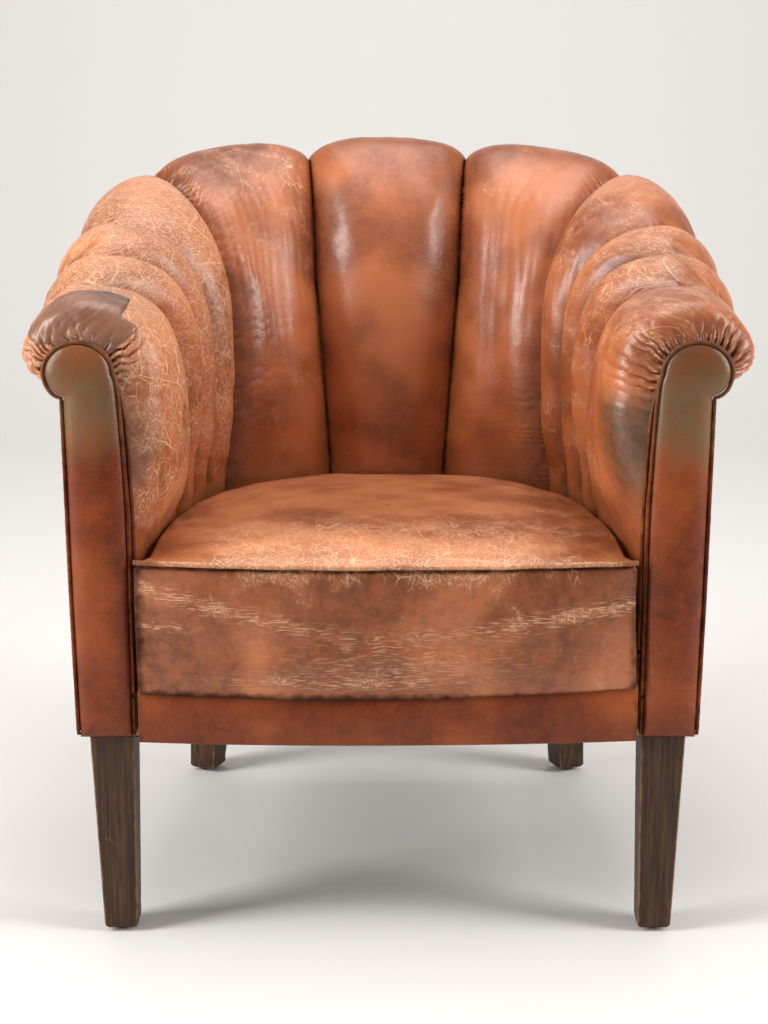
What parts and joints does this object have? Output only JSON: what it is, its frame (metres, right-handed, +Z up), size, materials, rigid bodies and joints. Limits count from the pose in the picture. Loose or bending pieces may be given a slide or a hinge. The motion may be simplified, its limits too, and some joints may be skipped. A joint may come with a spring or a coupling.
{
  "type": "worn leather club chair",
  "caption": "Low armchair with a fluted, rolled tub back in worn brown leather, a sprung seat with piping, scroll arm fronts and square tapered dark legs.",
  "frame": {"origin": "on the floor, under the middle of the space that the chair takes", "axes": "+Z up, +Y from the seat front to the back, +X to the right of someone who faces the chair"},
  "size_m": [0.7532, 0.7346, 0.8087],
  "materials": {
    "leather": "cognac leather, semi-gloss, crazed and rubbed pale on the seat and arms",
    "outside_leather": "red-brown leather, semi-gloss, less worn, hand grime at the top of the arm fronts",
    "piping_leather": "leather piping rubbed pale along its crown",
    "patch_leather": "dark brown leather patch, matt and creased",
    "oak_stained": "dark stained oak, rubbed pale at the edges",
    "beech": "plain sawn beech, unfinished",
    "spring_steel": "dull drawn wire",
    "glide_steel": "dark pressed steel, worn",
    "jute": "plain jute",
    "fibre": "loose stitched fibre",
    "cambric": "black cambric, dusty"
  },
  "bodies": {
    "root": {"leg_front_left": "oak_stained", "leg_front_right": "oak_stained", "leg_back_left": "oak_stained", "leg_back_right": "oak_stained", "glide_front_left": "glide_steel", "glide_front_right": "glide_steel", "glide_back_left": "glide_steel", "glide_back_right": "glide_steel", "arm_post_left": "beech", "arm_post_right": "beech", "side_rail_left": "beech", "side_rail_right": "beech", "arm_rail_left": "beech", "arm_rail_right": "beech", "back_upright_left": "beech", "back_upright_right": "beech", "corner_block_left": "beech", "corner_block_right": "beech", "front_rail": "beech", "back_rail": "beech", "back_top_rail": "beech", "webbing_long_1": "jute", "webbing_long_2": "jute", "webbing_long_3": "jute", "webbing_cross_1": "jute", "webbing_cross_2": "jute", "spring_hessian": "jute", "tub_lining": "jute", "seat_spring_1": "spring_steel", "seat_spring_2": "spring_steel", "seat_spring_3": "spring_steel", "seat_spring_4": "spring_steel", "seat_spring_5": "spring_steel", "seat_spring_6": "spring_steel", "seat_stuffing": "fibre", "pad_left_1": "leather", "pad_left_2": "leather", "pad_left_3": "leather", "pad_left_4": "leather", "pad_left_5": "leather", "pad_right_1": "leather", "pad_right_2": "leather", "pad_right_3": "leather", "pad_right_4": "leather", "pad_right_5": "leather", "pad_centre": "leather", "seat_cover": "leather", "facing_left": "outside_leather", "facing_right": "outside_leather", "front_border": "outside_leather", "outside_back": "outside_leather", "outside_arm_left": "outside_leather", "outside_arm_right": "outside_leather", "seat_piping": "piping_leather", "facing_piping_left": "piping_leather", "facing_piping_right": "piping_leather", "arm_patch_left": "patch_leather", "dust_cover": "cambric"}
  },
  "joints": []
}
